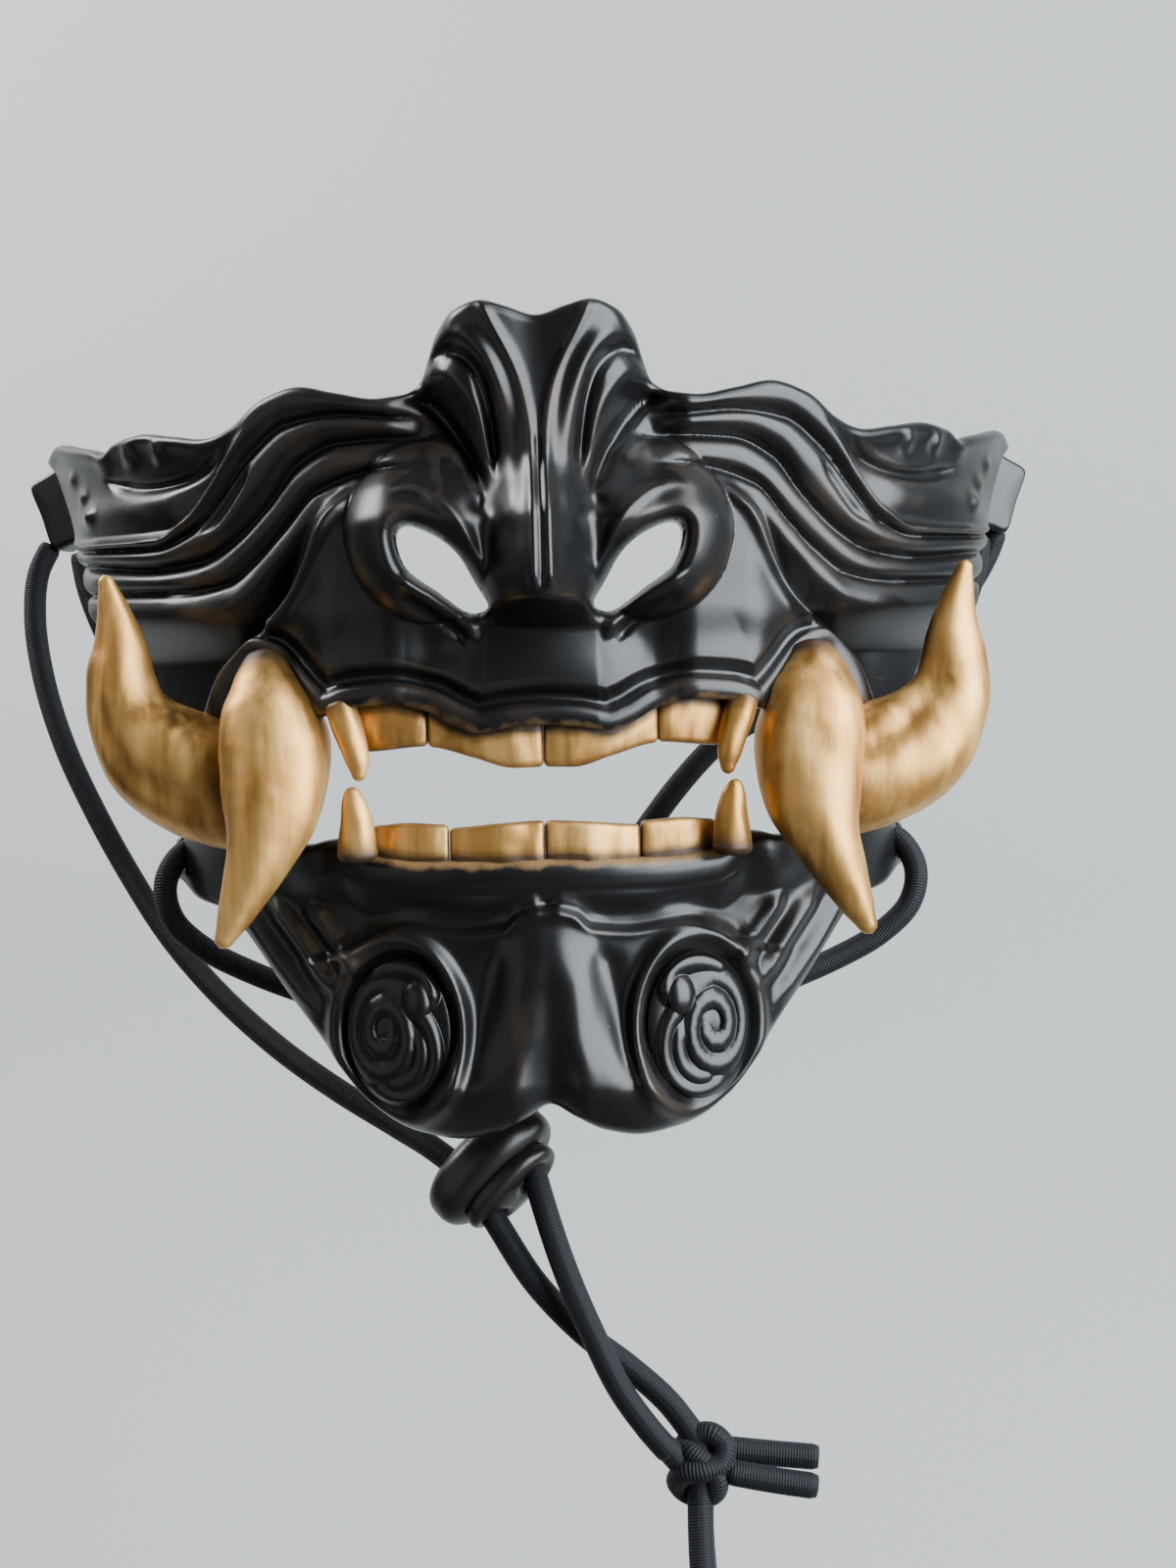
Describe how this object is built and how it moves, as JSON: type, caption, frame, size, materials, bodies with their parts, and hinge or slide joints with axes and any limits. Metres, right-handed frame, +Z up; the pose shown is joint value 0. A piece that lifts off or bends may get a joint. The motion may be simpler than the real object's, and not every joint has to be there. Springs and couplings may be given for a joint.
{
  "type": "demon-faced half mask face guard",
  "caption": "Half mask face guard with flowing cheeks, nose, separate jaw, gold teeth, fangs and tusks, held on by an elastic cord with a stopper.",
  "frame": {"origin": "inside of the shell on the bridge of the nose, on the mid-plane, where the mask sits on the face", "axes": "+X to the viewer's right seen from the front, -Y out of the face, +Z up"},
  "size_m": [0.2104, 0.1108, 0.2441],
  "materials": {
    "shell_lacquer": "black satin-gloss moulded shell, rubbed brown on the high ridges",
    "antique_gold": "brushed antique gold paint with dark roots and creases",
    "elastic_cord": "black round elastic with fine cross ribs",
    "stopper_plastic": "matt black moulded plastic"
  },
  "bodies": {
    "root": {"big_fang_left": "antique_gold", "big_fang_right": "antique_gold", "cord_jaw": "elastic_cord", "cord_knot": "elastic_cord", "cord_left": "elastic_cord", "cord_loop": "elastic_cord", "cord_right": "elastic_cord", "cord_stopper": "stopper_plastic", "cord_tail_lower": "elastic_cord", "cord_tail_upper": "elastic_cord", "ear_lug_left": "shell_lacquer", "ear_lug_right": "shell_lacquer", "lower_jaw": "shell_lacquer", "lower_small_fang_left": "antique_gold", "lower_small_fang_right": "antique_gold", "lower_tooth_inner_left": "antique_gold", "lower_tooth_inner_right": "antique_gold", "lower_tooth_outer_left": "antique_gold", "lower_tooth_outer_right": "antique_gold", "roundel_left": "shell_lacquer", "roundel_right": "shell_lacquer", "tusk_left": "antique_gold", "tusk_right": "antique_gold", "upper_shell": "shell_lacquer", "upper_small_fang_left": "antique_gold", "upper_small_fang_right": "antique_gold", "upper_tooth_inner_left": "antique_gold", "upper_tooth_inner_right": "antique_gold", "upper_tooth_outer_left": "antique_gold", "upper_tooth_outer_right": "antique_gold"}
  },
  "joints": []
}
